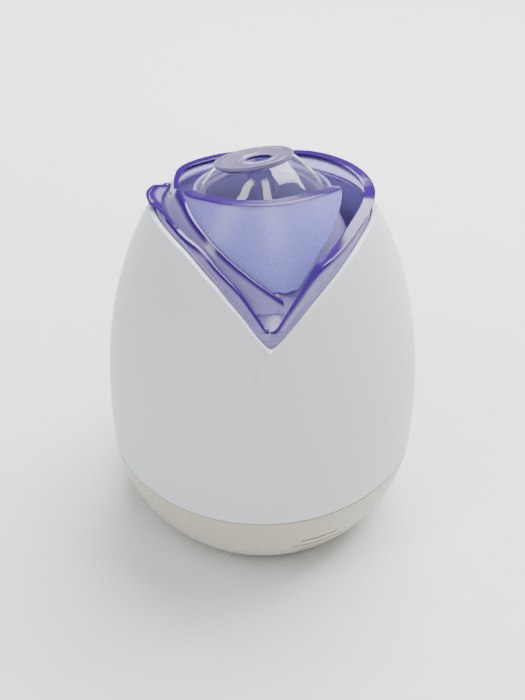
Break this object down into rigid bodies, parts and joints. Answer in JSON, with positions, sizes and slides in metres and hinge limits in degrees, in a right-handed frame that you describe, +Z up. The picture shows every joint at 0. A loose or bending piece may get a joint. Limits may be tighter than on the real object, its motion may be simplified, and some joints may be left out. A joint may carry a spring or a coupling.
{
  "type": "cool mist humidifier",
  "caption": "Tabletop cool mist humidifier shaped like a tulip bud: milky base, white egg-shaped tank, petal lid and a turning clear mist nozzle.",
  "frame": {"origin": "centre of the footprint, on the surface that the feet stand on", "axes": "+Z up through the mist nozzle, +X to the right and -Y towards the front, where the neckline dips to its notch"},
  "size_m": [0.1986, 0.1986, 0.2437],
  "materials": {
    "tank_white": "satin white",
    "base_grey": "milky warm grey, satin gloss",
    "petal_frosted": "frosted translucent lavender with darker polished rims",
    "lid_clear": "clear lavender",
    "nozzle_clear": "clear, faintly lavender, polished",
    "disc_violet": "clear violet, polished",
    "inner_plastic": "plain moulded",
    "black_plastic": "plain moulded",
    "float_blue": "foamed",
    "rubber_grey": "matt",
    "silicone_white": "translucent",
    "screw_steel": "zinc plated",
    "spring_steel": "drawn wire",
    "sink_aluminium": "extruded",
    "board_green": "solder mask",
    "disc_ceramic": "plated ceramic"
  },
  "bodies": {
    "base": {"base_shell": "base_grey", "bottom_cover": "base_grey", "deck": "inner_plastic", "basin": "inner_plastic", "foot_1": "rubber_grey", "foot_2": "rubber_grey", "foot_3": "rubber_grey", "foot_4": "rubber_grey", "cover_screw_1": "screw_steel", "cover_screw_2": "screw_steel", "cover_screw_3": "screw_steel", "cover_screw_4": "screw_steel", "transducer_seal": "silicone_white", "transducer": "disc_ceramic", "transducer_clamp": "sink_aluminium", "clamp_screw_1": "screw_steel", "clamp_screw_2": "screw_steel", "clamp_screw_3": "screw_steel", "fan_frame": "black_plastic", "air_duct": "inner_plastic", "driver_board": "board_green", "heat_sink": "sink_aluminium", "potentiometer": "black_plastic", "dc_jack": "black_plastic"},
    "rotor": {"fan_rotor": "black_plastic"},
    "float": {"level_float": "float_blue"},
    "knob": {"control_knob": "base_grey", "knob_shaft": "screw_steel"},
    "tank": {"body_shell": "tank_white", "tank_neck": "lid_clear", "tank_floor": "inner_plastic", "mist_tube": "inner_plastic"},
    "cap": {"tank_cap": "inner_plastic", "cap_gasket": "silicone_white", "valve_spring": "spring_steel"},
    "plunger": {"valve_plunger": "black_plastic"},
    "lid": {"lid_base": "lid_clear", "petal_right": "petal_frosted", "petal_left": "petal_frosted", "petal_front": "petal_frosted"},
    "nozzle": {"nozzle_dome": "nozzle_clear", "nozzle_disc": "disc_violet", "nozzle_tube": "nozzle_clear"}
  },
  "joints": [
    {"name": "fan_spin", "type": "hinge", "parent": "base", "child": "rotor", "pos_m": [0.03814, 0.02572, 0.019], "axis": [0, 0, 1], "continuous": true},
    {"name": "float_rise", "type": "slide", "parent": "base", "child": "float", "axis": [0, 0, 1], "range_m": [0, 0.008]},
    {"name": "knob_turn", "type": "hinge", "parent": "base", "child": "knob", "pos_m": [0, 0.09194, 0.028], "axis": [0, 0.9118, -0.4106], "range_deg": [-270, 0]},
    {"name": "tank_lift", "type": "slide", "parent": "base", "child": "tank", "axis": [0, 0, 1], "range_m": [0, 0.1]},
    {"name": "cap_turn", "type": "hinge", "parent": "tank", "child": "cap", "pos_m": [-0.04064, 0.0079, 0.058], "axis": [0, 0, 1], "range_deg": [0, 90]},
    {"name": "valve_push", "type": "slide", "parent": "cap", "child": "plunger", "axis": [0, 0, 1], "range_m": [0, 0.003], "stiffness_N_per_m": 250, "deforming": ["valve_spring"]},
    {"name": "lid_lift", "type": "slide", "parent": "tank", "child": "lid", "axis": [0, 0, 1], "range_m": [0, 0.08]},
    {"name": "nozzle_turn", "type": "hinge", "parent": "lid", "child": "nozzle", "pos_m": [0, 0, 0.215], "axis": [0, 0, 1], "continuous": true}
  ]
}
